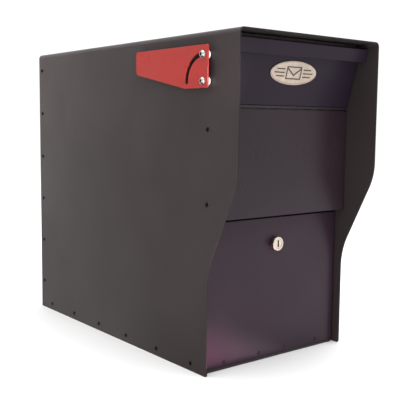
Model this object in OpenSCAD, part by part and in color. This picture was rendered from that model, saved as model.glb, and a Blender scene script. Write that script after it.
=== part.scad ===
// Locking parcel drop box in folded steel sheet.
// X runs across the front, Y from the front to the rear, Z up from the underside of the floor.
// Places inside the modules are counted from the front edge of the roof and moved by place().

/* [Cabinet] */
// Width over the two sides
cabinet_w = 269; // [240:1:300]
// Depth from the front edge of the roof to the rear panel
cabinet_d = 545; // [520:1:600]
// Height from the underside of the floor to the top of the roof
cabinet_h = 460; // [450:1:500]
// Thickness of the sheet that makes the roof and both sides
wrap_t = 2; // [1.5:0.1:3]
// Thickness of the inner panels and the doors
panel_t = 1.6; // [1.2:0.1:2]
// Outer radius of the two folds between roof and sides
roof_fold_r = 7; // [5:0.5:12]
// Setback of the lower front edge of the sides
setback = 58.5; // [50:0.5:70]
// Height where the sloping front edge would meet the upper vertical edge
slope_top_z = 265.5; // [240:0.5:280]
// Height where the sloping front edge would meet the lower vertical edge
slope_bottom_z = 147; // [130:0.5:160]

/* [Front] */
// Setback of the fixed middle panel
middle_y = 54; // [50:0.5:60]
// Height of the lower edge of the middle panel
middle_z = 212; // [205:0.5:215]
// Setback of the access door's face
access_y = 70; // [66:0.5:74]
// Height of the mail door's hinge pin
mail_hinge_z = 365; // [360:0.5:370]
// Forward lean of the mail door
mail_lean = 15; // [10:0.5:18]
// Height of the lock above the floor
lock_z = 169.5; // [160:0.5:172]

/* [Flag] */
// Length of the flag arm
flag_l = 164; // [140:1:180]
// Height of the arm at its pivot end
flag_h = 55; // [50:1:60]
// Height of the arm at its free end
flag_tip_h = 33; // [25:1:40]
// Height of the flag's pivot bolt
flag_pivot_z = 395.2; // [385:0.1:396]
// Radius of the arc slot that limits the flag's turn
flag_slot_r = 34; // [30:0.5:36]

/* [Fasteners] */
// Pitch of the rivets up the rear edge of each side
rear_rivet_pitch = 76.4; // [70:0.1:78]
// Pitch of the rivets along the lower edge of each side
floor_rivet_pitch = 82.4; // [75:0.1:84]
// Spacing of the mounting holes across the floor
mount_x = 152.4; // [120:0.1:180]
// Spacing of the mounting holes along the floor
mount_y = 304.8; // [250:0.1:340]
// Radius of each mounting hole
mount_hole_r = 5; // [4:0.5:6]

/* [Hidden] */
$fn = 48;
half_w = cabinet_w / 2;
inner_w = half_w - wrap_t;
fit_gap = 0.1;
edge_gap = 2;
fold_r = 2.5;
steel_grey = [0.24, 0.22, 0.23];
door_grey = [0.26, 0.23, 0.26];
zinc = [0.72, 0.72, 0.7];
chrome = [0.85, 0.85, 0.86];
flag_red = [0.75, 0.13, 0.1];
rubber = [0.08, 0.08, 0.08];
nylon = [0.85, 0.84, 0.8];

// Rivets
rivet_head_r = 3.1;
rivet_head_h = 1.3;
rivet_shank_r = 1.6;
rivet_tail_r = 2.4;
rivet_tail_h = 2.2;
rear_rivet_y = cabinet_d - 10.4;
rear_rivet_z0 = 49.7;
rear_rivets = 6;
floor_rivet_y0 = 93.2;
floor_rivet_z = 11;
floor_rivets = 6;
side_screw_y = 61.1;
side_screw_zs = [234.4, 333.2];

// Inner flanges
flange_t = panel_t + fit_gap;
flange_w = inner_w - fit_gap;
rear_flange = 20;
floor_flange_h = 20;
floor_front_y = access_y + 3.2;

// Piano hinges; each pin is half as thick as its barrel
mail_barrel_r = 2.4;
access_barrel_r = 1.9;
pin_fit = 0.05;
leaf_t = 1.2;
leaf_l = 24;
knuckles = 17;
knuckle_l = 15;
knuckle_gap = 0.3;
barrel_gap = 0.4;
hinge_half_w = knuckles * knuckle_l / 2;
mail_hinge_y = middle_y + panel_t + leaf_t - mail_barrel_r;
access_hinge_y = access_y + panel_t + leaf_t - access_barrel_r;
access_hinge_z = access_barrel_r;

// Middle panel and the latch lip behind it
middle_gap = 1.9;
middle_top_z = mail_hinge_z - mail_barrel_r - middle_gap;
middle_flange = 24;
lip_y = access_y + 14;
lip_drop = 15;

// Mail door, drawn upright about its hinge pin and then leaned forward
mail_half_w = inner_w - 1.7;
mail_face_y = -2;
mail_back_y = mail_face_y + panel_t;
mail_foot_z = mail_barrel_r + barrel_gap;
mail_flange = 7;
mail_face_top_z = 74.6;
pull_y = -14.7;
pull_top_z = 92.2;
pull_return = 6;

// Stop angle, bumpers and magnetic catch behind the mail door's top
stop_y = 5;
stop_foot_z = 66;
stop_roof_leg = 22;
stop_t = 1.6;
bumper_x = 95;
bumper_z = 71;
bumper_r = 4;
catch_half_w = 22;
catch_z = 77;
catch_half_h = 9;
catch_d = 9;
pole_half_w = 14;
pole_half_h = 6;
pole_gap = 0.4;
strike_t = 1.5;

// Access door and its lock
access_half_w = inner_w - edge_gap;
access_top_gap = 4.8;
access_top_z = middle_z - access_top_gap;
access_foot_z = access_hinge_z + access_barrel_r + barrel_gap;
access_flange = 13;
access_rivet_xs = [-92.6, -26, 26, 92.6];
access_rivet_z = 10.2;
floor_leaf_rivet_y = access_hinge_y + 16;
bezel_r = 10.5;
bezel_l = 8.7;
barrel_body_r = 9.4;
lock_back_y = access_y + 14;
plug_r = 7;
keyway_w = 2.6;
keyway_h = 10.2;
keyway_d = 7;
tail_side = 6.4;
cam_y = lip_y + panel_t + 0.6;
cam_t = 2;
cam_l = 36;
cam_half_h = 7.5;

// Flag and its two bolts
flag_t = 2;
flag_y = 49.6;
flag_pivot_y = 60;
flag_foot_z = 386.5;
flag_standoff = 7.8;
flag_play = 0.15;
flag_corner_r = 3;
flag_flat_l = 48;
bolt_r = 3;
bolt_fit = 0.06;
spacer_r = 5.7;
spacer_l = 6.6;
bushing_r = 4.6;
outer_washer_r = 5.3;
outer_washer_t = 0.8;
inner_washer_r = 6.6;
inner_washer_t = 1;
bolt_head_r = 5;
bolt_head_h = 3.2;
bolt_key_r = 2.3;
bolt_key_d = 1.9;
nut_r = 5.8;
nut_h = 6;
slot_half_w = 3.3;
flag_back_x = -half_w - flag_standoff - flag_play;
flag_face_x = flag_back_x - flag_t;
washer_back_x = flag_face_x - flag_play;
bolt_end_x = inner_washer_t + nut_h + 1 - inner_w;
bolt_zs = [flag_pivot_z, flag_pivot_z + flag_slot_r];

// Chute and the swinging baffle inside the mouth
chute_t = 1.2;
chute_front_y = middle_y + panel_t + leaf_t + chute_t / 2;
chute_top_z = middle_top_z - 1.6;
chute_rear_y = 235;
chute_rear_z = 327.5;
baffle_y = 150;
baffle_z = 446;
baffle_half_w = 119;
baffle_foot_z = 352.5;
baffle_t = 1.2;
baffle_roll_r = 4.6;
rod_r = 3;
bracket_x = 122;
bracket_t = 2;
bracket_half_d = 9;

// Badge
badge_a = 44.6;
badge_b = 16.9;
badge_z = 48.8;
badge_t = 1.2;
badge_rim = 2;
badge_relief = 0.5;
stud_x = 26;
stud_r = 1.5;

// ---- Places and shared shapes ----

module place() {
    translate([0, -cabinet_d / 2, 0]) children();
}

// Frame of the leaning mail door: its hinge pin is the X axis
module mail_frame() {
    place() translate([0, mail_hinge_y, mail_hinge_z]) rotate([mail_lean, 0, 0]) children();
}

module access_frame() {
    place() translate([0, access_hinge_y, access_hinge_z]) children();
}

// A flat outline in (y, z) stretched from x0 to x1
module along_x(x0, x1) {
    translate([x0, 0, 0]) rotate([90, 0, 90]) linear_extrude(x1 - x0) children();
}

module rod_x(x0, x1, r) {
    translate([x0, 0, 0]) rotate([0, 90, 0]) cylinder(r = r, h = x1 - x0);
}

module rod_y(y0, y1, r) {
    translate([0, y0, 0]) rotate([-90, 0, 0]) cylinder(r = r, h = y1 - y0);
}

function arc_points(centre, r, from, to, steps) =
    [for (i = [0 : steps]) centre + r * [cos(from + (to - from) * i / steps),
                                         sin(from + (to - from) * i / steps)]];

// A folded sheet seen on edge: flats along the points, with round folds
module sheet_path(points, t) {
    for (i = [0 : len(points) - 2]) {
        step = points[i + 1] - points[i];
        translate(points[i]) rotate(atan2(step[1], step[0]))
            translate([0, -t / 2]) square([norm(step), t]);
    }
    for (i = [1 : len(points) - 2]) translate(points[i]) circle(d = t);
}

// Filled arch: a rectangle from 0 up to top, its two upper corners rounded
module arch(half, top, r) {
    translate([-half, 0]) square([2 * half, top - r]);
    translate([r - half, 0]) square([2 * (half - r), top]);
    for (s = [-1, 1]) translate([s * (half - r), top - r]) circle(r = r);
}

// Sheet with both edges folded back, drawn in (x, y) with its face on y = 0
module folded_face(half, depth, t) {
    translate([0, depth]) mirror([0, 1]) difference() {
        arch(half, depth, fold_r);
        translate([0, -1]) arch(half - t, depth - t + 1, fold_r - t);
    }
}

module box(low, high) {
    translate(low) cube(high - low);
}

module dome(r, h) {
    ball = (r * r + h * h) / (2 * h);
    intersection() {
        translate([0, 0, h - ball]) sphere(r = ball);
        cylinder(r = r, h = h);
    }
}

// Blind rivet along Z, its head above zero and its tail below the grip
module rivet(grip) {
    dome(rivet_head_r, rivet_head_h);
    translate([0, 0, -grip - rivet_tail_h]) cylinder(r = rivet_shank_r, h = grip + rivet_tail_h);
    translate([0, 0, -grip - rivet_tail_h]) cylinder(r = rivet_tail_r, h = rivet_tail_h);
}

module on_side(side, y, z) {
    translate([side * half_w, y, z]) rotate([0, side * 90, 0]) children();
}

module rivet_hole_x(y, z) {
    translate([0, y, z]) rod_x(-half_w - 1, half_w + 1, rivet_shank_r + fit_gap / 2);
}

module rear_rivet_holes() {
    for (i = [0 : rear_rivets - 1])
        rivet_hole_x(rear_rivet_y, rear_rivet_z0 + i * rear_rivet_pitch);
}

module floor_rivet_holes() {
    for (i = [0 : floor_rivets - 1])
        rivet_hole_x(floor_rivet_y0 + i * floor_rivet_pitch, floor_rivet_z);
}

module side_screw_holes() {
    for (z = side_screw_zs) rivet_hole_x(side_screw_y, z);
}

// ---- Cabinet ----

// Front edge of a side: upright, a slope back, upright again, then a rounded toe
module side_outline() {
    slope = atan2(setback, slope_top_z - slope_bottom_z);
    upper_r = 85;
    lower_r = 110;
    toe_r = 3;
    upper = [upper_r, slope_top_z + upper_r * tan(slope / 2)];
    lower = [setback - lower_r, slope_bottom_z - lower_r * tan(slope / 2)];
    polygon(concat([[cabinet_d, 0], [cabinet_d, cabinet_h], [0, cabinet_h]],
        arc_points(upper, upper_r, 180, 180 + slope, 8),
        arc_points(lower, lower_r, slope, 0, 12),
        arc_points([setback + toe_r, toe_r], toe_r, 180, 270, 5)));
}

module cabinet_wrap() {
    color(steel_grey) place() difference() {
        intersection() {
            translate([0, cabinet_d, 0]) rotate([90, 0, 0]) linear_extrude(cabinet_d) difference() {
                arch(half_w, cabinet_h, roof_fold_r);
                translate([0, -1]) arch(inner_w, cabinet_h - wrap_t + 1, roof_fold_r - wrap_t);
            }
            along_x(-half_w, half_w) side_outline();
        }
        rear_rivet_holes();
        floor_rivet_holes();
        side_screw_holes();
        for (z = bolt_zs)
            translate([0, flag_pivot_y, z]) rod_x(-half_w - 1, -inner_w + 1, bolt_r + bolt_fit);
    }
}

module rear_panel() {
    top = cabinet_h - wrap_t - fit_gap;
    front = cabinet_d - rear_flange;
    color(steel_grey) place() difference() {
        union() {
            translate([0, cabinet_d, 0]) rotate([90, 0, 0]) linear_extrude(panel_t)
                arch(flange_w, top, roof_fold_r - wrap_t);
            for (s = [0, 1]) mirror([s, 0, 0])
                box([flange_w - panel_t, front, 22], [flange_w, cabinet_d, top - 16]);
            box([16 - flange_w, front, top - panel_t], [flange_w - 16, cabinet_d, top]);
            box([16 - flange_w, front, flange_t], [flange_w - 16, cabinet_d, flange_t + panel_t]);
        }
        rear_rivet_holes();
        box([-half_w, cabinet_d - panel_t - fit_gap, -1], [half_w, cabinet_d + 1, 0]);
    }
}

module floor_pan() {
    rear = cabinet_d - panel_t - fit_gap;
    color(steel_grey) place() difference() {
        union() {
            box([-flange_w, floor_front_y, 0], [flange_w, rear, panel_t]);
            for (s = [0, 1]) mirror([s, 0, 0]) box([flange_w - panel_t, access_y + 18, 0],
                [flange_w, rear, floor_flange_h]);
        }
        floor_rivet_holes();
        for (sx = [-1, 1]) for (sy = [-1, 1])
            translate([sx * mount_x / 2, cabinet_d / 2 + sy * mount_y / 2, -1])
                cylinder(r = mount_hole_r, h = panel_t + 2);
        for (x = access_rivet_xs) translate([x, floor_leaf_rivet_y, -1])
            cylinder(r = rivet_shank_r + fit_gap / 2, h = panel_t + 2);
    }
}

// Fixed panel between the doors, with the lip that the lock's cam closes behind
module middle_panel() {
    height = middle_top_z - middle_z;
    shelf_z = middle_z + panel_t / 2;
    color(door_grey) place() difference() {
        union() {
            translate([0, middle_y, middle_z]) linear_extrude(height)
                folded_face(flange_w, middle_flange, panel_t);
            along_x(panel_t - flange_w, flange_w - panel_t)
                sheet_path([[middle_y + panel_t / 2, shelf_z + 6], [middle_y + panel_t / 2, shelf_z],
                    [lip_y + panel_t / 2, shelf_z], [lip_y + panel_t / 2, shelf_z - lip_drop]],
                    panel_t);
        }
        side_screw_holes();
    }
}

// Sloping tray that carries a parcel back from the mail door, with a folded drip edge
module chute_tray() {
    slope = [[chute_front_y, chute_top_z], [chute_rear_y, chute_rear_z]];
    side_y = middle_y + middle_flange + 4;
    narrow_w = flange_w - panel_t - fit_gap;
    color(steel_grey) place() {
        along_x(-narrow_w, narrow_w) sheet_path([[chute_front_y, chute_top_z - 18], slope[0],
            slope[1], [chute_rear_y + 8, chute_rear_z - 14]], chute_t);
        intersection() {
            union() {
                along_x(-flange_w, flange_w) sheet_path(slope, chute_t);
                for (s = [0, 1]) mirror([s, 0, 0]) along_x(flange_w - chute_t, flange_w)
                    polygon([slope[0], slope[1], slope[1] + [0, 12], slope[0] + [0, 12]]);
            }
            box([-half_w, side_y, 0], [half_w, chute_rear_y, cabinet_h]);
        }
    }
}

// ---- Mail door, its hinge, stop and catch ----

// One half of a piano hinge about the X axis; its leaf rises from z = 0 between y0 and y0 + leaf_t
module hinge_half(first, y0, r) {
    difference() {
        union() {
            box([-hinge_half_w, y0, r + barrel_gap], [hinge_half_w, y0 + leaf_t, leaf_l]);
            for (i = [first : 2 : knuckles - 1]) {
                x0 = i * knuckle_l - hinge_half_w + knuckle_gap / 2;
                x1 = x0 + knuckle_l - knuckle_gap;
                rod_x(x0, x1, r);
                box([x0, y0, 0], [x1, y0 + leaf_t, r + barrel_gap + 1]);
            }
        }
        rod_x(-hinge_half_w - 1, hinge_half_w + 1, r / 2 + pin_fit);
    }
}

module mail_door() {
    top = mail_face_top_z;
    mid = panel_t / 2;
    color(door_grey) mail_frame() difference() {
        union() {
            translate([0, mail_face_y, mail_foot_z]) linear_extrude(top - mail_foot_z)
                folded_face(mail_half_w, mail_flange, panel_t);
            along_x(-mail_half_w, mail_half_w)
                sheet_path([[mail_face_y + mid, top - 4], [mail_face_y + mid, top - mid],
                    [pull_y + mid, top - mid], [pull_y + mid, pull_top_z - mid],
                    [pull_y + pull_return, pull_top_z - mid]], panel_t);
        }
        for (s = [-1, 1]) translate([s * stud_x, 0, badge_z])
            rod_y(mail_face_y - 1, mail_back_y + 1, stud_r + fit_gap / 2);
    }
}

module mail_hinge_door_leaf() {
    color(zinc) mail_frame() hinge_half(1, mail_back_y, mail_barrel_r);
}

module mail_hinge_panel_leaf() {
    color(zinc) place() translate([0, mail_hinge_y, mail_hinge_z]) rotate([180, 0, 0])
        hinge_half(0, -mail_barrel_r, mail_barrel_r);
}

module mail_hinge_pin() {
    color(zinc) place() translate([0, mail_hinge_y, mail_hinge_z])
        rod_x(-hinge_half_w, hinge_half_w, mail_barrel_r / 2);
}

// Angle welded under the roof; its leg stands parallel to the closed mail door
module stop_angle() {
    roof_z = cabinet_h - wrap_t - fit_gap - stop_t / 2;
    rise = (roof_z - mail_hinge_z - (stop_y + stop_t / 2) * sin(mail_lean)) / cos(mail_lean);
    foot = leaned(stop_y + stop_t / 2, stop_foot_z);
    bend = leaned(stop_y + stop_t / 2, rise);
    color(steel_grey) difference() {
        place() along_x(-inner_w + 6, inner_w - 6)
            sheet_path([foot, bend, bend + [stop_roof_leg, 0]], stop_t);
        mail_frame() box([-pole_half_w - fit_gap, stop_y - 3, catch_z - pole_half_h - fit_gap],
            [pole_half_w + fit_gap, stop_y + 5, catch_z + pole_half_h + fit_gap]);
    }
}

// (y, z) in the cabinet of a point (y, z) in the mail door's own frame
function leaned(y, z) = [mail_hinge_y + y * cos(mail_lean) - z * sin(mail_lean),
                         mail_hinge_z + z * cos(mail_lean) + y * sin(mail_lean)];

module mail_bumpers() {
    color(rubber) mail_frame() for (s = [-1, 1]) translate([s * bumper_x, 0, bumper_z]) {
        rod_y(mail_back_y + 1.6, stop_y, bumper_r);
        rod_y(mail_back_y + 0.6, mail_back_y + 1.6, bumper_r - 1);
    }
}

module catch_housing() {
    back = stop_y + stop_t;
    color(rubber) mail_frame() difference() {
        box([-catch_half_w, back, catch_z - catch_half_h],
            [catch_half_w, back + catch_d, catch_z + catch_half_h]);
        box([-pole_half_w - fit_gap, back - 1, catch_z - pole_half_h - fit_gap],
            [pole_half_w + fit_gap, back + catch_d - 3, catch_z + pole_half_h + fit_gap]);
    }
}

module catch_magnet() {
    face = mail_back_y + strike_t + pole_gap;
    color(zinc) mail_frame() box([-pole_half_w, face, catch_z - pole_half_h],
        [pole_half_w, stop_y + stop_t + catch_d - 3, catch_z + pole_half_h]);
}

module catch_strike() {
    color(zinc) mail_frame() box([-pole_half_w - 4, mail_back_y, mail_face_top_z - 16],
        [pole_half_w + 4, mail_back_y + strike_t, catch_z + pole_half_h + 3]);
}

// Spring clip that holds outgoing letters on the inside of the mail door
module outgoing_clip() {
    clip_t = 0.8;
    root = mail_back_y + clip_t / 2;
    color(zinc) mail_frame() along_x(62, 88) sheet_path([[root, 54], [root, 42], [root + 4, 36],
        [root + 0.8, 30], [root + 3.4, 26.5]], clip_t);
}

module ellipse(a, b) {
    polygon([for (i = [0 : 71]) [a * cos(i * 5), b * sin(i * 5)]]);
}

// Plain envelope sign: a frame and the two folds of its flap
module envelope_sign() {
    w = 15;
    h = 8.5;
    line = 1.3;
    difference() {
        square([2 * w, 2 * h], center = true);
        square([2 * (w - line), 2 * (h - line)], center = true);
    }
    intersection() {
        square([2 * w, 2 * h], center = true);
        sheet_path([[-w, h], [0, -1], [w, h]], line);
    }
}

module badge_plate() {
    color(chrome) mail_frame() translate([0, mail_face_y, badge_z]) rotate([90, 0, 0]) {
        linear_extrude(badge_t) ellipse(badge_a, badge_b);
        linear_extrude(badge_t + badge_relief) {
            difference() {
                ellipse(badge_a, badge_b);
                ellipse(badge_a - badge_rim, badge_b - badge_rim);
            }
            envelope_sign();
            for (s = [-1, 1]) for (i = [-1 : 1])
                translate([s * (26 - abs(i) * 2), i * 5]) square([12 - abs(i) * 3, 1.3], center = true);
        }
    }
}

module badge_studs() {
    color(zinc) mail_frame() for (s = [-1, 1]) translate([s * stud_x, 0, badge_z]) {
        rod_y(mail_face_y, mail_back_y + 2.4, stud_r);
        rod_y(mail_back_y, mail_back_y + 1, stud_r + 2.5);
    }
}

// ---- Access door and lock ----

module access_door() {
    face = access_y - access_hinge_y;
    foot = access_foot_z - access_hinge_z;
    top = access_top_z - access_hinge_z;
    color(door_grey) access_frame() difference() {
        union() {
            translate([0, face, foot]) linear_extrude(top - foot - panel_t)
                folded_face(access_half_w, access_flange, panel_t);
            along_x(-access_half_w, access_half_w)
                sheet_path([[face + panel_t / 2, top - 8], [face + panel_t / 2, top - panel_t / 2],
                    [face + access_flange, top - panel_t / 2]], panel_t);
        }
        for (x = access_rivet_xs) translate([x, 0, access_rivet_z - access_hinge_z])
            rod_y(face - 1, face + panel_t + 1, rivet_shank_r + fit_gap / 2);
        translate([0, 0, lock_z - access_hinge_z])
            rod_y(face - 1, face + panel_t + 1, barrel_body_r + fit_gap);
    }
}

module access_hinge_door_leaf() {
    color(zinc) access_frame() difference() {
        hinge_half(1, access_barrel_r - leaf_t, access_barrel_r);
        for (x = access_rivet_xs) translate([x, 0, access_rivet_z - access_hinge_z])
            rod_y(0, access_barrel_r + 1, rivet_shank_r + fit_gap / 2);
    }
}

module access_hinge_floor_leaf() {
    color(zinc) difference() {
        access_frame() rotate([-90, 0, 0])
            hinge_half(0, access_barrel_r - panel_t - leaf_t, access_barrel_r);
        place() for (x = access_rivet_xs) translate([x, floor_leaf_rivet_y, panel_t - 1])
            cylinder(r = rivet_shank_r + fit_gap / 2, h = leaf_t + 2);
    }
}

module access_hinge_pin() {
    color(zinc) access_frame() rod_x(-hinge_half_w, hinge_half_w, access_barrel_r / 2);
}

module access_door_rivets() {
    color(door_grey) place() for (x = access_rivet_xs)
        translate([x, access_y, access_rivet_z]) rotate([90, 0, 0]) rivet(panel_t + leaf_t);
}

// Rivets through the floor, set flush underneath
module floor_leaf_rivets() {
    color(zinc) place() for (x = access_rivet_xs) translate([x, floor_leaf_rivet_y, 0]) {
        cylinder(r = rivet_shank_r, h = panel_t + leaf_t + 0.5);
        translate([0, 0, panel_t + leaf_t]) dome(rivet_head_r, rivet_head_h);
    }
}

module lock_frame() {
    place() translate([0, 0, lock_z]) children();
}

module lock_body() {
    color(chrome) lock_frame() difference() {
        union() {
            translate([0, access_y - bezel_l, 0]) rotate([-90, 0, 0]) rotate_extrude()
                polygon([[0, 0], [bezel_r - 1.2, 0], [bezel_r - 0.4, 0.3], [bezel_r, 1.1],
                    [bezel_r, bezel_l], [0, bezel_l]]);
            intersection() {
                rod_y(access_y - 1, lock_back_y, barrel_body_r);
                box([-barrel_body_r, access_y - 1, 1 - barrel_body_r],
                    [barrel_body_r, lock_back_y, barrel_body_r - 1]);
            }
        }
        rod_y(access_y - bezel_l - 1, lock_back_y + 1, plug_r + pin_fit);
    }
}

module lock_washer() {
    color(zinc) lock_frame() difference() {
        rod_y(access_y + panel_t, access_y + panel_t + 1.2, 13);
        rod_y(access_y, access_y + 5, barrel_body_r + fit_gap);
    }
}

module lock_nut() {
    back = access_y + panel_t + 1.2;
    color(zinc) lock_frame() difference() {
        translate([0, back, 0]) rotate([-90, 0, 0]) cylinder(r = 13.5, h = 4, $fn = 6);
        rod_y(back - 1, back + 5, barrel_body_r + fit_gap);
    }
}

module lock_plug() {
    face = access_y - bezel_l + 0.5;
    color(chrome) lock_frame() difference() {
        union() {
            rod_y(face, lock_back_y + 1, plug_r);
            box([-tail_side / 2, lock_back_y, -tail_side / 2],
                [tail_side / 2, cam_y + cam_t, tail_side / 2]);
        }
        box([-keyway_w / 2, face - 1, -keyway_h / 2], [keyway_w / 2, face + keyway_d, keyway_h / 2]);
    }
}

// Cam, lying level when the lock is open and standing up behind the lip when it is shut
module lock_cam() {
    hole = tail_side / 2 + pin_fit;
    color(zinc) lock_frame() difference() {
        union() {
            rod_y(cam_y, cam_y + cam_t, cam_half_h);
            box([0, cam_y, -cam_half_h], [cam_l - cam_half_h, cam_y + cam_t, cam_half_h]);
            translate([cam_l - cam_half_h, 0, 0]) rod_y(cam_y, cam_y + cam_t, cam_half_h);
        }
        box([-hole, cam_y - 1, -hole], [hole, cam_y + cam_t + 1, hole]);
    }
}

module lock_cam_screw() {
    back = cam_y + cam_t;
    color(zinc) lock_frame() difference() {
        union() {
            rod_y(back, back + 1, 6);
            rod_y(back + 1, back + 3.5, 4.5);
        }
        for (turn = [0, 90]) rotate([0, turn, 0]) box([-2.6, back + 2, -0.5], [2.6, back + 5, 0.5]);
    }
}

// ---- Flag ----

module flag_outline() {
    low = flag_foot_z;
    high = low + flag_h;
    tip = flag_y + flag_l;
    r = flag_corner_r;
    difference() {
        hull() {
            translate([flag_y + r, high - r]) circle(r = r, $fn = 32);
            translate([flag_y + r, low + r]) circle(r = r, $fn = 32);
            translate([flag_y + flag_flat_l, low + r]) circle(r = r, $fn = 32);
            translate([tip - r, high - r]) circle(r = r, $fn = 32);
            translate([tip - 2 * r, high - flag_tip_h + 2 * r]) circle(r = 2 * r, $fn = 32);
        }
        translate([flag_pivot_y, flag_pivot_z]) {
            circle(r = bolt_r + bolt_fit);
            intersection() {
                difference() {
                    circle(r = flag_slot_r + slot_half_w);
                    circle(r = flag_slot_r - slot_half_w);
                }
                square(flag_slot_r + slot_half_w);
            }
            translate([flag_slot_r, 0]) circle(r = slot_half_w);
            translate([0, flag_slot_r]) circle(r = slot_half_w);
        }
    }
}

module flag_arm() {
    color(flag_red) place() along_x(flag_face_x, flag_back_x) flag_outline();
}

// Button head bolt along X with a hex socket; the shank runs in to the lock nut
module flag_bolt(z) {
    place() translate([washer_back_x - outer_washer_t, flag_pivot_y, z]) difference() {
        union() {
            rotate([0, -90, 0]) dome(bolt_head_r, bolt_head_h);
            rod_x(-0.5, bolt_end_x - washer_back_x + outer_washer_t, bolt_r);
        }
        translate([-bolt_head_h - 1, 0, 0]) rotate([0, 90, 0])
            cylinder(r = bolt_key_r, h = bolt_key_d + 1, $fn = 6);
    }
}

module flag_pivot_bolt() {
    color(chrome) flag_bolt(bolt_zs[0]);
}

module flag_stop_bolt() {
    color(chrome) flag_bolt(bolt_zs[1]);
}

module flag_ring(x0, x1, r) {
    place() for (z = bolt_zs) translate([0, flag_pivot_y, z]) difference() {
        rod_x(x0, x1, r);
        rod_x(x0 - 1, x1 + 1, bolt_r + bolt_fit);
    }
}

// White nylon spacers behind the flag, on short steel bushings that stand on the side
module flag_spacers() {
    color(nylon) flag_ring(-half_w - flag_standoff, -half_w - flag_standoff + spacer_l, spacer_r);
}

module flag_bushings() {
    color(zinc) flag_ring(-half_w - flag_standoff + spacer_l, -half_w, bushing_r);
}

module flag_washers() {
    color(chrome) flag_ring(washer_back_x - outer_washer_t, washer_back_x, outer_washer_r);
}

module flag_inner_washers() {
    color(zinc) flag_ring(-inner_w, -inner_w + inner_washer_t, inner_washer_r);
}

module flag_lock_nuts() {
    x0 = -inner_w + inner_washer_t;
    color(zinc) place() for (z = bolt_zs) translate([0, flag_pivot_y, z]) difference() {
        union() {
            translate([x0, 0, 0]) rotate([0, 90, 0]) cylinder(r = nut_r, h = nut_h - 1.5, $fn = 6);
            rod_x(x0, x0 + nut_h, nut_r - 1);
        }
        rod_x(x0 - 1, x0 + nut_h + 1, bolt_r + bolt_fit);
    }
}

// ---- Baffle ----

module baffle_frame() {
    place() translate([0, baffle_y, baffle_z]) children();
}

// Flap rolled round its rod at the top, with a folded lower edge
module baffle_flap() {
    drop = baffle_z - baffle_foot_z;
    color(steel_grey) baffle_frame() along_x(-baffle_half_w, baffle_half_w) difference() {
        union() {
            circle(r = baffle_roll_r);
            sheet_path([[0, 0], [0, baffle_t - drop], [-5, baffle_t / 2 - drop]], baffle_t);
        }
        circle(r = rod_r + pin_fit);
    }
}

module baffle_rod() {
    color(zinc) baffle_frame() rod_x(-bracket_x - 6, bracket_x + 6, rod_r);
}

module baffle_brackets() {
    top = cabinet_h - wrap_t - fit_gap - baffle_z;
    color(steel_grey) baffle_frame() for (s = [0, 1]) mirror([s, 0, 0]) difference() {
        union() {
            box([bracket_x, -bracket_half_d, -7], [bracket_x + bracket_t, bracket_half_d, top]);
            box([bracket_x - 14, -bracket_half_d, top - bracket_t],
                [bracket_x + bracket_t, bracket_half_d, top]);
        }
        rod_x(bracket_x - 1, bracket_x + bracket_t + 1, rod_r + bolt_fit);
    }
}

module baffle_rod_caps() {
    x0 = bracket_x + bracket_t + 0.3;
    color(zinc) baffle_frame() for (s = [0, 1]) mirror([s, 0, 0]) difference() {
        rod_x(x0, x0 + 2.4, rod_r + 2);
        rod_x(x0 - 1, x0 + 4, rod_r + pin_fit / 2);
    }
}

// ---- Side fasteners ----

module rear_rivet_row(side) {
    color(steel_grey) place() for (i = [0 : rear_rivets - 1])
        on_side(side, rear_rivet_y, rear_rivet_z0 + i * rear_rivet_pitch) rivet(wrap_t + flange_t);
}

module floor_rivet_row(side) {
    color(steel_grey) place() for (i = [0 : floor_rivets - 1])
        on_side(side, floor_rivet_y0 + i * floor_rivet_pitch, floor_rivet_z)
            rivet(wrap_t + flange_t);
}

module side_screw_pair(side) {
    color(steel_grey) place() for (z = side_screw_zs) on_side(side, side_screw_y, z) {
        dome(rivet_head_r, rivet_head_h);
        translate([0, 0, -9.5]) cylinder(r = rivet_shank_r, h = 9.5);
    }
}

module rear_rivets_left() {
    rear_rivet_row(-1);
}

module rear_rivets_right() {
    rear_rivet_row(1);
}

module floor_rivets_left() {
    floor_rivet_row(-1);
}

module floor_rivets_right() {
    floor_rivet_row(1);
}

module side_screws_left() {
    side_screw_pair(-1);
}

module side_screws_right() {
    side_screw_pair(1);
}

// Small hex nuts on the side screws, inside the middle panel's flanges
module side_nuts() {
    grip = wrap_t + flange_t;
    color(zinc) place() for (side = [-1, 1]) for (z = side_screw_zs)
        on_side(side, side_screw_y, z) translate([0, 0, -grip - 3]) difference() {
            cylinder(r = 3.6, h = 3, $fn = 6);
            translate([0, 0, -1]) cylinder(r = rivet_shank_r + fit_gap / 2, h = 5);
        }
}

cabinet_wrap();
rear_panel();
floor_pan();
middle_panel();
chute_tray();
stop_angle();
mail_bumpers();
catch_housing();
catch_magnet();
catch_strike();
mail_door();
mail_hinge_door_leaf();
mail_hinge_panel_leaf();
mail_hinge_pin();
outgoing_clip();
badge_plate();
badge_studs();
access_door();
access_hinge_door_leaf();
access_hinge_floor_leaf();
access_hinge_pin();
access_door_rivets();
floor_leaf_rivets();
lock_body();
lock_washer();
lock_nut();
lock_plug();
lock_cam();
lock_cam_screw();
flag_arm();
flag_pivot_bolt();
flag_stop_bolt();
flag_spacers();
flag_bushings();
flag_washers();
flag_inner_washers();
flag_lock_nuts();
baffle_flap();
baffle_rod();
baffle_brackets();
baffle_rod_caps();
rear_rivets_left();
rear_rivets_right();
floor_rivets_left();
floor_rivets_right();
side_screws_left();
side_screws_right();
side_nuts();
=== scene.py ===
"""Looks of the parcel drop box: finishes, turned fasteners, badge, lock, light and camera.

Everything is in metres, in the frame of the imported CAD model. The camera looks at the
front and the -X side of the box.
"""

import math

import bmesh
import bpy
from mathutils import Matrix, Vector


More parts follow.
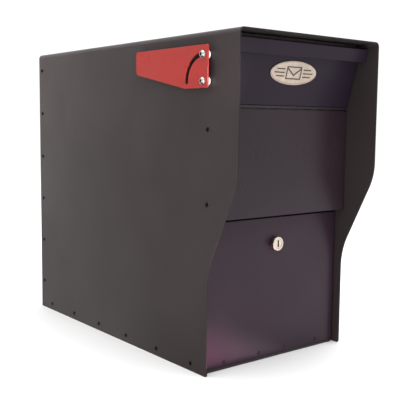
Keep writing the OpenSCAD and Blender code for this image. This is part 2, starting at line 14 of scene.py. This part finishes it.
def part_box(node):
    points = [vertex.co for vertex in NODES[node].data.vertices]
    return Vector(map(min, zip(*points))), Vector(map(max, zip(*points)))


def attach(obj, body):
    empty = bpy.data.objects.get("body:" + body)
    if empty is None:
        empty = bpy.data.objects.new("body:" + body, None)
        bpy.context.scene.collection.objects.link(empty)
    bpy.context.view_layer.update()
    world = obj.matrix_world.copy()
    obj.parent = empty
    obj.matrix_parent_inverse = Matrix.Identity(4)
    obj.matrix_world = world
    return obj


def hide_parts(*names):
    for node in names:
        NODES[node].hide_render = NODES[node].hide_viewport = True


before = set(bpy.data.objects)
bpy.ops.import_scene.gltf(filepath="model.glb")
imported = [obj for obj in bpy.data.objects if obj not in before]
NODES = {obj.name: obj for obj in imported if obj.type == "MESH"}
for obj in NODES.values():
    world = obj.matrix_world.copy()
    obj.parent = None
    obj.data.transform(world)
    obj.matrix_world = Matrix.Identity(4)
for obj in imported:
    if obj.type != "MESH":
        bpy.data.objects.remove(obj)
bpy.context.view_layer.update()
MM = 0.001

# ---- CAD nodes that stay visible ----

# Each node's finish and the radius its edges are rounded to, in mm
KEPT_NODES = {
    "cabinet_wrap": ("charcoal_wrap", 0.5),
    "rear_panel": ("charcoal", 0.4),
    "floor_pan": ("charcoal", 0.4),
    "middle_panel": ("charcoal_front", 0.4),
    "chute_tray": ("charcoal", 0.3),
    "stop_angle": ("charcoal", 0.4),
    "mail_bumpers": ("rubber", 0.5),
    "catch_housing": ("plastic", 0.8),
    "catch_magnet": ("zinc", 0.3),
    "catch_strike": ("zinc", 0.25),
    "mail_door": ("charcoal_mail", 0.4),
    "mail_hinge_door_leaf": ("hinge", 0.25),
    "mail_hinge_panel_leaf": ("hinge", 0.25),
    "mail_hinge_pin": ("zinc", 0.2),
    "outgoing_clip": ("zinc", 0.15),
    "badge_studs": ("zinc", 0.2),
    "access_door": ("charcoal_access", 0.4),
    "access_hinge_door_leaf": ("hinge", 0.25),
    "access_hinge_floor_leaf": ("hinge", 0.25),
    "access_hinge_pin": ("zinc", 0.2),
    "lock_body": ("lock", 0.3),
    "lock_washer": ("zinc", 0.2),
    "lock_nut": ("zinc", 0.3),
    "lock_plug": ("lock", 0.2),
    "lock_cam": ("zinc", 0.3),
    "lock_cam_screw": ("zinc", 0.2),
    "flag_arm": ("red", 0.35),
    "flag_spacers": ("nylon", 0.3),
    "flag_bushings": ("zinc", 0.3),
    "flag_washers": ("chrome", 0.25),
    "flag_inner_washers": ("zinc", 0.25),
    "flag_lock_nuts": ("zinc", 0.3),
    "baffle_flap": ("charcoal", 0.3),
    "baffle_rod": ("zinc", 0.3),
    "baffle_brackets": ("charcoal", 0.3),
    "baffle_rod_caps": ("zinc", 0.3),
    "side_nuts": ("zinc", 0.2),
}


# ---- Materials ----

# Noise and cell scales count features per metre, and colours are linear red, green, blue.


class Finish:
    """A procedural material, with short calls for the nodes that its graph uses."""

    def __init__(self, name):
        self.material = bpy.data.materials.new(name)
        self.material.use_nodes = True
        self.nodes = self.material.node_tree.nodes
        self.links = self.material.node_tree.links
        self.shader = self.nodes["Principled BSDF"]
        self.place = self.nodes.new("ShaderNodeTexCoord").outputs["Object"]

    def put(self, socket, value):
        if isinstance(value, bpy.types.NodeSocket):
            self.links.new(value, socket)
        else:
            socket.default_value = value

    def shade(self, **values):
        """Sets the shader's own sockets; Base_Color stands for Base Color."""
        for name, value in values.items():
            self.put(self.shader.inputs[name.replace("_", " ")], value)

    def stretched(self, x, y, z):
        node = self.nodes.new("ShaderNodeMapping")
        self.put(node.inputs["Vector"], self.place)
        node.inputs["Scale"].default_value = (x, y, z)
        return node.outputs["Vector"]

    def noise(self, scale, detail=2.0, place=None):
        node = self.nodes.new("ShaderNodeTexNoise")
        self.put(node.inputs["Vector"], place or self.place)
        node.inputs["Scale"].default_value = scale
        node.inputs["Detail"].default_value = detail
        return node.outputs["Fac"]

    def cells(self, scale):
        node = self.nodes.new("ShaderNodeTexVoronoi")
        node.feature = "SMOOTH_F1"
        self.put(node.inputs["Vector"], self.place)
        node.inputs["Scale"].default_value = scale
        return node.outputs["Distance"]

    def spread(self, value, low, high, to_low=0.0, to_high=1.0):
        """Maps low..high to to_low..to_high and clamps outside it."""
        node = self.nodes.new("ShaderNodeMapRange")
        self.put(node.inputs["Value"], value)
        for socket, number in zip(("From Min", "From Max", "To Min", "To Max"),
                                  (low, high, to_low, to_high)):
            node.inputs[socket].default_value = number
        return node.outputs["Result"]

    def maths(self, operation, a, b):
        node = self.nodes.new("ShaderNodeMath")
        node.operation = operation
        self.put(node.inputs[0], a)
        self.put(node.inputs[1], b)
        return node.outputs["Value"]

    def blend(self, factor, a, b):
        node = self.nodes.new("ShaderNodeMix")
        node.data_type = "RGBA"
        self.put(node.inputs["Factor"], factor)
        self.put(node.inputs["A"], a)
        self.put(node.inputs["B"], b)
        return node.outputs["Result"]

    def bump(self, height, distance, strength=1.0, under=None):
        node = self.nodes.new("ShaderNodeBump")
        node.inputs["Strength"].default_value = strength
        node.inputs["Distance"].default_value = distance
        self.put(node.inputs["Height"], height)
        if under:
            self.put(node.inputs["Normal"], under)
        return node.outputs["Normal"]

    def edges(self, radius):
        """1 on rounded edges and 0 on flats, from how far the rounded normal turns."""
        flat_dot = 0.98
        edge_dot = 0.8
        rounded = self.nodes.new("ShaderNodeBevel")
        rounded.samples = 4
        rounded.inputs["Radius"].default_value = radius
        unrounded = self.nodes.new("ShaderNodeNewGeometry").outputs["Normal"]
        dot = self.nodes.new("ShaderNodeVectorMath")
        dot.operation = "DOT_PRODUCT"
        self.put(dot.inputs[0], rounded.outputs["Normal"])
        self.put(dot.inputs[1], unrounded)
        return self.spread(dot.outputs["Value"], flat_dot, edge_dot)

    def facing_front(self):
        """1 where the surface faces the front of the box and 0 on its other sides."""
        slanted_y = -0.45
        facing_y = -0.8
        split = self.nodes.new("ShaderNodeSeparateXYZ")
        self.put(split.inputs["Vector"], self.nodes.new("ShaderNodeTexCoord").outputs["Normal"])
        return self.spread(split.outputs["Y"], slanted_y, facing_y)


def tint(colour, gain):
    return tuple(min(1.0, c * gain) for c in colour) + (1.0,)


def powder_coat(name, colour, roughness, specular, front_painted_shade_gain=1.0):
    """Fine-textured powder coat: grain, slight orange peel, handling marks, wear along the
    edges.

    Painted shade darkens front-facing surfaces, such as the cut edges, to the gain given.
    """
    finish = Finish(name)
    blotch = finish.spread(finish.noise(9, 3), 0.3, 0.7)
    base = finish.blend(blotch, tint(colour, 0.92), tint(colour, 1.1))
    speck = finish.spread(finish.noise(1600, 1), 0.62, 0.78)
    base = finish.blend(speck, base, tint(colour, 1.6))
    patchy_edges = finish.maths("MULTIPLY", finish.edges(0.7 * MM),
                       finish.spread(finish.noise(140, 3), 0.45, 0.62))
    base = finish.blend(patchy_edges, base, tint(colour, 1.5))
    # Painted shade on the faces that look to the front, the sheet's cut edges among them
    if front_painted_shade_gain < 1:
        base = finish.blend(finish.facing_front(), base, tint(colour, front_painted_shade_gain))
    handled = finish.noise(24, 4, finish.stretched(1, 1, 0.6))
    gloss = finish.spread(handled, 0.3, 0.7, roughness - 0.04, roughness + 0.05)
    peel = finish.bump(finish.cells(420), 0.05 * MM, 0.5)
    grain = finish.bump(finish.noise(1100, 2), 0.05 * MM, 0.6, peel)
    finish.shade(Base_Color=base, Roughness=gloss, Normal=grain, Specular_IOR_Level=specular)
    return finish.material


def plated_steel(name, colour, roughness):
    """Zinc plate: cloudy crystals and fine drawing marks."""
    finish = Finish(name)
    cloud = finish.spread(finish.noise(160, 3), 0.3, 0.7)
    base = finish.blend(cloud, tint(colour, 0.8), tint(colour, 1.08))
    drawn = finish.noise(900, 2, finish.stretched(0.05, 1, 1))
    finish.shade(Base_Color=base, Metallic=1.0,
                 Roughness=finish.spread(cloud, 0, 1, roughness - 0.07, roughness + 0.1),
                 Normal=finish.bump(drawn, 0.02 * MM, 0.4))
    return finish.material


def polished_chrome(name, colour):
    """Chrome with hairline scratches and a little haze from handling."""
    finish = Finish(name)
    haze = finish.spread(finish.noise(260, 3), 0.35, 0.7)
    scratch = finish.noise(1500, 2, finish.stretched(1, 1, 0.08))
    finish.shade(Base_Color=finish.blend(haze, tint(colour, 1.0), tint(colour, 0.88)),
                 Metallic=1.0, Roughness=finish.spread(haze, 0, 1, 0.1, 0.24),
                 Normal=finish.bump(scratch, 0.01 * MM, 0.3))
    return finish.material


def satin_badge(name, colour):
    """Brushed pale metal, the brush marks along the badge."""
    finish = Finish(name)
    brushed = finish.noise(1300, 2, finish.stretched(0.04, 1, 1))
    tarnish = finish.spread(finish.noise(120, 3), 0.35, 0.7)
    finish.shade(Base_Color=finish.blend(tarnish, tint(colour, 1.05), tint(colour, 0.86)),
                 Metallic=1.0, Roughness=finish.spread(brushed, 0.3, 0.7, 0.34, 0.5),
                 Normal=finish.bump(brushed, 0.02 * MM, 0.5))
    return finish.material


def red_paint(name, colour):
    """Glossy red enamel, slightly chalked, with patches of painted highlight on the arm's edges.
    """
    # Painted highlight: brighter, deeper red on the arm's edges, in patches set by noise
    edge_highlight = (0.6, 0.03, 0.028, 1)
    finish = Finish(name)
    chalk = finish.spread(finish.noise(40, 4), 0.35, 0.75)
    base = finish.blend(chalk, tint(colour, 1.0), tint(colour, 0.88))
    patchy_edges = finish.maths("MULTIPLY", finish.edges(0.6 * MM),
                       finish.spread(finish.noise(180, 3), 0.4, 0.6))
    base = finish.blend(patchy_edges, base, edge_highlight)
    finish.shade(Base_Color=base, Roughness=finish.spread(chalk, 0, 1, 0.26, 0.4),
                 Specular_IOR_Level=0.34,
                 Normal=finish.bump(finish.cells(300), 0.04 * MM, 0.4))
    return finish.material


def moulded(name, colour, roughness):
    """Rubber or plastic with a fine moulded grain."""
    finish = Finish(name)
    mottle = finish.spread(finish.noise(200, 3), 0.3, 0.7)
    finish.shade(Base_Color=finish.blend(mottle, tint(colour, 0.85), tint(colour, 1.2)),
                 Roughness=finish.spread(mottle, 0, 1, roughness - 0.06, roughness + 0.06),
                 Normal=finish.bump(finish.noise(1500, 1), 0.05 * MM, 0.5))
    return finish.material


CHARCOAL = (0.047, 0.037, 0.038)

# Coats are given as name, colour, roughness, specular level
FINISHES = {
    "charcoal": powder_coat("charcoal_powder_coat", CHARCOAL, 0.36, 0.19),
    # Charcoal coat with painted shade on the wrap's front-facing cut edges
    "charcoal_wrap": powder_coat("wrap_coat_painted_front_shade", CHARCOAL, 0.36, 0.19, front_painted_shade_gain=0.3),
    # Painted shade and tint: darker, purple copies of the charcoal coat for the front panels
    "charcoal_front": powder_coat("front_coat_painted_shade_and_tint", (0.026, 0.0165, 0.022), 0.3, 0.19),
    # Painted shade: the mail door, leaning forward, gets the darkest and least glossy copy
    "charcoal_mail": powder_coat("mail_door_coat_painted_shade", (0.0225, 0.015, 0.025), 0.32, 0.08),
    # Painted pink light: the access door's copy is tinted purple like the light falling on it
    "charcoal_access": powder_coat("access_door_coat_painted_shade_and_pink", (0.0285, 0.0155, 0.0245),
                                   0.32, 0.165),
    "rivet": powder_coat("rivet_powder_coat", (0.005, 0.0045, 0.005), 0.35, 0.1),
    "hinge": powder_coat("hinge_powder_coat", (0.024, 0.018, 0.02), 0.42, 0.25),
    "zinc": plated_steel("zinc_plated_steel", (0.6, 0.59, 0.55), 0.36),
    "chrome": polished_chrome("bright_chrome", (0.62, 0.6, 0.58)),
    "lock": polished_chrome("lock_plate", (0.56, 0.485, 0.415)),
    # Near-black, for the painted shade inside the flag bolts' hex sockets
    "socket_shade": moulded("socket_painted_shade", (0.008, 0.007, 0.006), 0.8),
    "badge": satin_badge("badge_metal", (0.48, 0.4, 0.335)),
    "ink": moulded("badge_enamel", (0.06, 0.035, 0.03), 0.4),
    "red": red_paint("flag_enamel", (0.42, 0.044, 0.038)),
    "rubber": moulded("bumper_rubber", (0.02, 0.02, 0.021), 0.7),
    "plastic": moulded("catch_plastic", (0.03, 0.03, 0.032), 0.5),
    "nylon": moulded("washer_nylon", (0.94, 0.93, 0.91), 0.4),
}


# ---- CAD nodes that stay ----


def round_edges(node, radius):
    """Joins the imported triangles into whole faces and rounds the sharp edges."""
    weld = node.modifiers.new("weld", "WELD")
    weld.merge_threshold = 0.001 * MM
    flat = node.modifiers.new("flat_faces", "DECIMATE")
    flat.decimate_type = "DISSOLVE"
    flat.angle_limit = math.radians(0.3)
    bevel = node.modifiers.new("rounded_edges", "BEVEL")
    bevel.width = radius * MM
    bevel.segments = 2
    bevel.limit_method = "ANGLE"
    bevel.angle_limit = math.radians(35)
    bevel.miter_outer = "MITER_ARC"
    shade = node.modifiers.new("flat_shading", "WEIGHTED_NORMAL")
    shade.keep_sharp = True


for name, (finish, radius) in KEPT_NODES.items():
    NODES[name].data.materials.clear()
    NODES[name].data.materials.append(FINISHES[finish])
    round_edges(NODES[name], radius)


# ---- Turned fasteners ----

RING_STEPS = 24
HEX_SECTOR = math.pi / 3
SMALL_HEAD_H = 1.3
SMALL_SHANK_R = 1.6
RIVET_TAIL_H = 2.2
FLAG_KEY_R = 2.3
# Outlines run from the tail's centre to the head's centre as (radius, height) in mm, with
# height 0 where the head sits on the sheet
RIVET_HEAD = [(3.1, 0), (3.08, 0.3), (2.75, 0.72), (2.2, 1.04), (1.5, 1.25), (1.1, 1.3),
              (0.92, 1.18), (0.88, 0.6), (0.7, 0.45), (0.4, 0.52), (0, 0.55)]
SCREW_HEAD = [(3.1, 0), (3.08, 0.3), (2.7, 0.76), (2.1, 1.09), (1.5, 1.26), (1.25, 1.3)]
SCREW_SOCKET = [(1.2, 1.2), (1.2, 0.3), (0, 0.1)]


def solid_boxes(node):
    """Lowest and highest corner, in mm, of each separate solid in a CAD node."""
    mesh = bmesh.new()
    mesh.from_mesh(NODES[node].data)
    bmesh.ops.remove_doubles(mesh, verts=mesh.verts, dist=0.001 * MM)
    waiting = set(mesh.verts)
    boxes = []
    while waiting:
        reached = [waiting.pop()]
        for vert in reached:
            near = {edge.other_vert(vert) for edge in vert.link_edges} & waiting
            waiting -= near
            reached.extend(near)
        places = [vert.co / MM for vert in reached]
        boxes.append((Vector([min(p[i] for p in places) for i in range(3)]),
                      Vector([max(p[i] for p in places) for i in range(3)])))
    mesh.free()
    return sorted(boxes, key=lambda box: tuple(box[0]))


def hex_radius(radius, angle):
    """Distance to a hexagon's side in the direction of angle, for its corner radius."""
    half = HEX_SECTOR / 2
    return radius * math.cos(half) / math.cos(angle % HEX_SECTOR - half)


def add_turned(mesh, outline, root, axis, hexagonal=()):
    """Adds a closed solid of revolution; outline points listed in hexagonal are six-sided."""
    turn = Vector(axis).to_track_quat("Z", "Y").to_matrix()
    rings = []
    for index, (radius, height) in enumerate(outline):
        ring = []
        for step in range(RING_STEPS if radius else 1):
            angle = 2 * math.pi * step / RING_STEPS
            reach = hex_radius(radius, angle) if index in hexagonal else radius
            point = Vector((reach * math.cos(angle), reach * math.sin(angle), height))
            ring.append(mesh.verts.new((Vector(root) + turn @ point) * MM))
        rings.append(ring)
    for low, high in zip(rings, rings[1:]):
        for step in range(RING_STEPS):
            after = (step + 1) % RING_STEPS
            corners = [low[step % len(low)], low[after % len(low)],
                       high[after % len(high)], high[step % len(high)]]
            mesh.faces.new(list(dict.fromkeys(corners)))


def object_from(mesh, name, material):
    """Turns the mesh into an object in the scene and frees it."""
    data = bpy.data.meshes.new(name)
    mesh.to_mesh(data)
    mesh.free()
    data.materials.append(material)
    made = bpy.data.objects.new(name, data)
    bpy.context.scene.collection.objects.link(made)
    return made


def piece_from(mesh, name, body, finish, replaced, smooth_angle=35):
    """Makes the mesh a piece that rides on a body and stands for CAD nodes."""
    bmesh.ops.recalc_face_normals(mesh, faces=mesh.faces)
    piece = object_from(mesh, name, FINISHES[finish])
    piece.data.shade_smooth()
    piece.data.set_sharp_from_angle(angle=math.radians(smooth_angle))
    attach(piece, body)
    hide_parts(*replaced)
    return piece


def rivet_outline(grip):
    """Blind rivet: bulb tail, shank and a domed head with the broken mandrel in it."""
    tail = -grip - RIVET_TAIL_H
    return [(0, tail), (1.1, tail), (1.7, tail + 0.15), (2.3, -grip - 1.5), (2.4, -grip - 0.9),
            (2.1, -grip - 0.3), (SMALL_SHANK_R, -grip), (SMALL_SHANK_R, 0)] + RIVET_HEAD


def screw_outline(length):
    """Button head screw with a thread; returns the outline and its hexagonal points."""
    tip_r = 1.1
    tip_h = 0.6
    pitch = 0.8
    groove_r = 1.35
    not_threaded = 2.4
    outline = [(0, -length), (tip_r, -length), (SMALL_SHANK_R, tip_h - length)]
    for turn in range(int((length - not_threaded) / pitch)):
        low = tip_h - length + turn * pitch
        outline += [(groove_r, low + pitch / 2), (SMALL_SHANK_R, low + pitch)]
    outline += [(SMALL_SHANK_R, 0)] + SCREW_HEAD
    socket = len(outline)
    return outline + SCREW_SOCKET, (socket, socket + 1)


def flag_bolt_outline(head_r, head_h, length):
    """Big button head bolt with a thread; returns the outline and its hexagonal points."""
    shank_r = 3.0
    chamfer = 0.6
    pitch = 1.0
    thread_turns = 9
    groove_depth = 0.3
    lip = 0.15
    socket_foot = 1.3
    drill_cone = 0.3
    outline = [(0, -length), (shank_r - chamfer, -length), (shank_r, chamfer - length)]
    for turn in range(thread_turns):
        low = chamfer - length + turn * pitch
        outline += [(shank_r - groove_depth, low + pitch / 2), (shank_r, low + pitch)]
    outline += [(shank_r, 0), (head_r, 0), (head_r, 0.35), (head_r * 0.94, 0.95),
                (head_r * 0.82, 1.7), (head_r * 0.68, 2.3), (head_r * 0.58, head_h - lip),
                (FLAG_KEY_R * 1.14, head_h), (FLAG_KEY_R * 1.06, head_h)]
    socket = len(outline)
    outline += [(FLAG_KEY_R, head_h - lip), (FLAG_KEY_R, socket_foot),
                (0, socket_foot - drill_cone)]
    return outline, (socket, socket + 1)


def fasteners(node, body, axis, finish, threaded=False):
    """Turned rivets or screws in place of a CAD node's plain ones, heads towards axis."""
    mesh = bmesh.new()
    way = Vector(axis)
    for low, high in solid_boxes(node):
        middle = (low + high) / 2
        half = Vector([(high[i] - low[i]) / 2 * way[i] for i in range(3)])
        length = 2 * half.length
        root = middle + half - way * SMALL_HEAD_H
        if threaded:
            outline, hexagonal = screw_outline(length - SMALL_HEAD_H)
        else:
            outline = rivet_outline(length - SMALL_HEAD_H - RIVET_TAIL_H)
            hexagonal = ()
        add_turned(mesh, outline, root, axis, hexagonal)
    return piece_from(mesh, "turned_" + node, body, finish, [node])


for side, sign in (("left", -1), ("right", 1)):
    fasteners("rear_rivets_" + side, "cabinet", (sign, 0, 0), "rivet")
    fasteners("floor_rivets_" + side, "cabinet", (sign, 0, 0), "rivet")
    fasteners("side_screws_" + side, "cabinet", (sign, 0, 0), "rivet", threaded=True)
# The door's rivets share its coat, painted shade and purple tint included
fasteners("access_door_rivets", "access_door_set", (0, -1, 0), "charcoal_access")


def floor_leaf_rivets():
    """Solid rivets, flush under the floor, with domed heads on the hinge leaf."""
    chamfer = 0.1
    mesh = bmesh.new()
    for low, high in solid_boxes("floor_leaf_rivets"):
        head = high[2] - SMALL_HEAD_H
        foot = low[2] - head
        root = ((low[0] + high[0]) / 2, (low[1] + high[1]) / 2, head)
        outline = [(0, foot), (SMALL_SHANK_R - chamfer, foot),
                   (SMALL_SHANK_R, foot + chamfer), (SMALL_SHANK_R, 0)]
        add_turned(mesh, outline + RIVET_HEAD, root, (0, 0, 1))
    piece_from(mesh, "turned_floor_leaf_rivets", "cabinet", "zinc",
               ["floor_leaf_rivets"])


floor_leaf_rivets()


def flag_bolt(node):
    """Turned bolt in place of a plain CAD one, with painted shade in its hex socket."""
    unshaded_lip = 0.16
    socket_r = FLAG_KEY_R * 1.02
    (low, high), = solid_boxes(node)
    seat_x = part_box("flag_washers")[0][0] / MM
    head_h = seat_x - low[0]
    root = Vector((seat_x, (low[1] + high[1]) / 2, (low[2] + high[2]) / 2))
    outline, hexagonal = flag_bolt_outline((high[1] - low[1]) / 2, head_h, high[0] - seat_x)
    mesh = bmesh.new()
    add_turned(mesh, outline, root, (-1, 0, 0), hexagonal)
    for face in mesh.faces:
        from_root = face.calc_center_median() / MM - root
        depth = head_h + from_root.x
        # Painted shade: faces inside the hex socket, below a thin lip, take the near-black
        # finish
        if unshaded_lip < depth < head_h and from_root.yz.length < socket_r:
            face.material_index = 1
    bolt = piece_from(mesh, "turned_" + node, "cabinet", "chrome", [node])
    bolt.data.materials.append(FINISHES["socket_shade"])


flag_bolt("flag_pivot_bolt")
flag_bolt("flag_stop_bolt")


# ---- Badge ----

BADGE_STEPS = 96
# Rim and field of the badge as (distance in from its edge, height) in mm
BADGE_SECTION = [(0.3, 0), (0, 0.3), (0, 1.1), (0.2, 1.45), (0.7, 1.7), (1.2, 1.62), (1.7, 1.3),
                 (2.1, 1.0), (2.5, 0.95), (5, 1.05), (9, 1.15), (13, 1.2)]
MARK_FOOT = 0.9
MARK_TOP = 1.45
MARK_LINE = 1.7
ENVELOPE_HALF_W = 14.5
ENVELOPE_HALF_H = 9
FLAP_TIP = -1.8
BAR_START = 18
BAR_PITCH = 5
MIDDLE_BAR = 19
OUTER_BAR = 15


def badge_frame():
    """Matrix of the badge's own plane, read from the CAD badge: Y is minus its outward side."""
    low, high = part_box("badge_plate")
    data = NODES["badge_plate"].data
    total = Vector()
    for face in data.polygons:
        if face.normal.y < -0.5 and abs(face.normal.x) < 0.01:
            total += face.normal * face.area
    outward = total.normalized()
    upward = Vector((1, 0, 0)).cross(-outward).normalized()
    if upward.z < 0:
        upward = -upward
    heights = [vert.co.dot(outward) for vert in data.vertices]
    ups = [vert.co.dot(upward) for vert in data.vertices]
    root = outward * min(heights) + upward * (min(ups) + max(ups)) / 2
    turned = Matrix(((1, 0, 0), -outward, upward)).transposed().to_4x4()
    return Matrix.Translation(Vector(((low[0] + high[0]) / 2, root.y, root.z))) @ turned


BADGE_FRAME = badge_frame()


def badge_point(across, up, height):
    """Place on the badge, in metres; the badge lies in the mail door's tilted plane."""
    return BADGE_FRAME @ (Vector((across, -height, up)) * MM)


def add_ring(mesh, points, height):
    return [mesh.verts.new(badge_point(x, z, height)) for x, z in points]


def add_walls(mesh, low, high):
    for i, vert in enumerate(low):
        after = (i + 1) % len(low)
        mesh.faces.new((vert, low[after], high[after], high[i]))


def badge_plate():
    """Oval plate with a rolled rim and a slightly crowned field."""
    low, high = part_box("badge_plate")
    half_a = (high[0] - low[0]) / 2 / MM
    upward = BADGE_FRAME.to_3x3() @ Vector((0, 0, 1))
    ups = [vert.co.dot(upward) for vert in NODES["badge_plate"].data.vertices]
    half_b = (max(ups) - min(ups)) / 2 / MM
    mesh = bmesh.new()
    rings = []
    for inset, height in BADGE_SECTION:
        oval = [((half_a - inset) * math.cos(2 * math.pi * i / BADGE_STEPS),
                 (half_b - inset) * math.sin(2 * math.pi * i / BADGE_STEPS))
                for i in range(BADGE_STEPS)]
        rings.append(add_ring(mesh, oval, height))
    for inner, outer in zip(rings, rings[1:]):
        add_walls(mesh, inner, outer)
    mesh.faces.new(rings[0])
    mesh.faces.new(rings[-1])
    piece_from(mesh, "badge_rolled_plate", "mail_door_set", "badge",
               ["badge_plate"], smooth_angle=60)


def add_plate(mesh, points):
    """Closed plate with an outline of straight lines, from the mark's foot to its top."""
    foot = add_ring(mesh, points, MARK_FOOT)
    top = add_ring(mesh, points, MARK_TOP)
    add_walls(mesh, foot, top)
    mesh.faces.new(foot)
    mesh.faces.new(top)


def add_bar(mesh, across, up, length):
    """Level bar of the mark's line width, its middle at across, up."""
    left = across - length / 2
    right = across + length / 2
    low = up - MARK_LINE / 2
    high = up + MARK_LINE / 2
    add_plate(mesh, [(left, low), (right, low), (right, high), (left, high)])


def badge_marks():
    """Plain raised envelope, with three bars on each side of it."""
    mesh = bmesh.new()
    w = ENVELOPE_HALF_W
    h = ENVELOPE_HALF_H
    line = MARK_LINE
    outer = [(-w, -h), (w, -h), (w, h), (-w, h)]
    inner = [(x * (1 - line / w), z * (1 - line / h)) for x, z in outer]
    rings = [add_ring(mesh, points, height) for points, height in
             ((outer, MARK_FOOT), (outer, MARK_TOP), (inner, MARK_TOP), (inner, MARK_FOOT))]
    for first, second in zip(rings, rings[1:] + rings[:1]):
        add_walls(mesh, first, second)
    flap_edge = h - 2.4 * line
    flap_foot = FLAP_TIP - 1.5 * line
    add_plate(mesh, [(-w + line, h - line), (0, FLAP_TIP), (w - line, h - line),
                     (w - line, flap_edge), (0, flap_foot), (-w + line, flap_edge)])
    for side in (-1, 1):
        for row, length in ((-1, OUTER_BAR), (0, MIDDLE_BAR), (1, OUTER_BAR)):
            add_bar(mesh, side * (BAR_START + length / 2), row * BAR_PITCH, length)
    piece_from(mesh, "badge_marks", "mail_door_set", "ink", ["badge_plate"])


badge_plate()
badge_marks()


# ---- Camera, light and floor ----


def area_light(name, place, target, size, power, colour=(1, 1, 1), spread=180):
    """Square soft light at place, facing target, that the camera doesn't see."""
    light = bpy.data.lights.new(name, "AREA")
    light.shape = "SQUARE"
    light.size = size
    light.energy = power
    light.color = colour
    light.spread = math.radians(spread)
    lamp = bpy.data.objects.new(name, light)
    lamp.location = place
    lamp.rotation_euler = (Vector(target) - Vector(place)).to_track_quat("-Z", "Y").to_euler()
    lamp.visible_camera = False
    bpy.context.scene.collection.objects.link(lamp)


def square_card(name, half, material):
    """Level square at the origin, half metres from its middle to each side."""
    mesh = bmesh.new()
    bmesh.ops.create_grid(mesh, x_segments=1, y_segments=1, size=half)
    return object_from(mesh, name, material)


def studio_floor():
    """Wide pale floor whose far edge is out of the camera's sight."""
    paper = Finish("pale_floor")
    mottle = paper.blend(paper.noise(3, 2), (0.95, 0.95, 0.95, 1), (0.98, 0.98, 0.98, 1))
    paper.shade(Base_Color=mottle, Roughness=0.7, Specular_IOR_Level=0.0)
    floor = square_card("studio_floor", 8, paper.material)


def camera():
    """Seen from the front left, a third of a metre above the floor, turned slightly."""
    lens = bpy.data.cameras.new("camera")
    lens.lens = 65.475
    lens.sensor_width = 36
    lens.clip_end = 50
    eye = bpy.data.objects.new("camera", lens)
    place = (-0.7342, -0.9512, 0.3418)
    heading, pitch, roll = (math.radians(a) for a in (38.501, 6.06, 0.572))
    turned = Matrix.Rotation(-heading, 4, "Z") @ Matrix.Rotation(math.pi / 2 - pitch, 4, "X")
    eye.matrix_world = Matrix.Translation(place) @ turned @ Matrix.Rotation(roll, 4, "Z")
    bpy.context.scene.collection.objects.link(eye)
    bpy.context.scene.camera = eye


def white_world(strength):
    world = bpy.data.worlds.new("white_room")
    world.use_nodes = True
    background = world.node_tree.nodes["Background"]
    background.inputs["Color"].default_value = (1, 1, 1, 1)
    background.inputs["Strength"].default_value = strength
    bpy.context.scene.world = world


def dark_felt():
    felt = Finish("dark_felt")
    nap = felt.blend(felt.noise(60, 2), (0.02, 0.02, 0.02, 1), (0.03, 0.03, 0.03, 1))
    felt.shade(Base_Color=nap, Roughness=0.9)
    return felt.material


def dark_card(name, place, target, half, felt):
    """Black card, unseen by the camera, that the bright metal and the coat reflect."""
    card = square_card(name, half, felt)
    card.location = place
    card.rotation_euler = (Vector(target) - card.location).to_track_quat("Z", "Y").to_euler()
    card.visible_camera = False


def reflected_only(card):
    """Keeps a card out of everything but the reflections in the coat and the metal."""
    card.visible_camera = False
    card.visible_diffuse = False
    card.visible_shadow = False
    card.visible_transmission = False


def floor_card(name, place, corner, far_corner, turn, finish):
    """Glowing card that only reflections show; its corners are counted from place."""
    above_floor = 0.001
    mesh = bmesh.new()
    outline = [(corner[0], corner[1]), (far_corner[0], corner[1]),
               (far_corner[0], far_corner[1]), (corner[0], far_corner[1])]
    mesh.faces.new([mesh.verts.new((x, y, 0)) for x, y in outline])
    card = object_from(mesh, name, finish)
    card.location = (place[0], place[1], above_floor)
    card.rotation_euler.z = math.radians(turn)
    reflected_only(card)


def shaded_floor():
    """Grey that darkens across the card, towards its -X side."""
    dark_x = -0.07
    light_x = 0.035
    finish = Finish("shaded_floor")
    split = finish.nodes.new("ShaderNodeSeparateXYZ")
    finish.put(split.inputs["Vector"], finish.place)
    level = finish.spread(split.outputs["X"], dark_x, light_x, 0.08, 0.78)
    finish.shade(Base_Color=(0, 0, 0, 1), Specular_IOR_Level=0.0,
                 Emission_Color=(1, 1, 1, 1), Emission_Strength=level)
    return finish.material


def pink_glow():
    """Light that is pink and strong at the card's own origin and fades to white away from it."""
    reach = 0.18
    white_level = 0.9
    pink_gain = 10.0
    finish = Finish("pink_glow")
    distance = finish.nodes.new("ShaderNodeVectorMath")
    distance.operation = "LENGTH"
    finish.put(distance.inputs[0], finish.place)
    near = finish.spread(distance.outputs["Value"], 0.0, reach, 1.0, 0.0)
    level = finish.maths("ADD", white_level, finish.maths("MULTIPLY", near, pink_gain))
    finish.shade(Base_Color=(0, 0, 0, 1), Specular_IOR_Level=0.0,
                 Emission_Color=finish.blend(near, (1, 1, 1, 1), (1, 0.16, 0.56, 1)),
                 Emission_Strength=level)
    return finish.material


FLAG_END = (-0.15, -0.21, 0.39)

studio_floor()
felt = dark_felt()
dark_card("side_card", (-1.08, 0.95, 0.35), FLAG_END, 0.45, felt)
dark_card("camera_card", (-0.95, -1.2, 0.4), FLAG_END, 0.3, felt)
floor_card("left_floor_card", (-0.431, 0.377), (-0.6, -0.72), (0.6, 0.72), 34, shaded_floor())
floor_card("front_glow", (-0.12, -0.29), (-0.005, -0.18), (0.2, 0.07), 0, pink_glow())
camera()
white_world(1.06)
area_light("overhead", (0.2, -0.2, 3), (0, 0, 0), 3.2, 90)
area_light("rear_left_key", (-0.9, 2.1, 0.8), (-0.15, 0.1, 0.3), 1.2, 3.1,
           colour=(1, 0.89, 0.74))
area_light("flag_front_fill", (-0.17, -0.75, 0.4), (-0.142, -0.2225, 0.395), 0.05, 0.024,
           spread=12)
bpy.context.scene.view_settings.view_transform = "Standard"
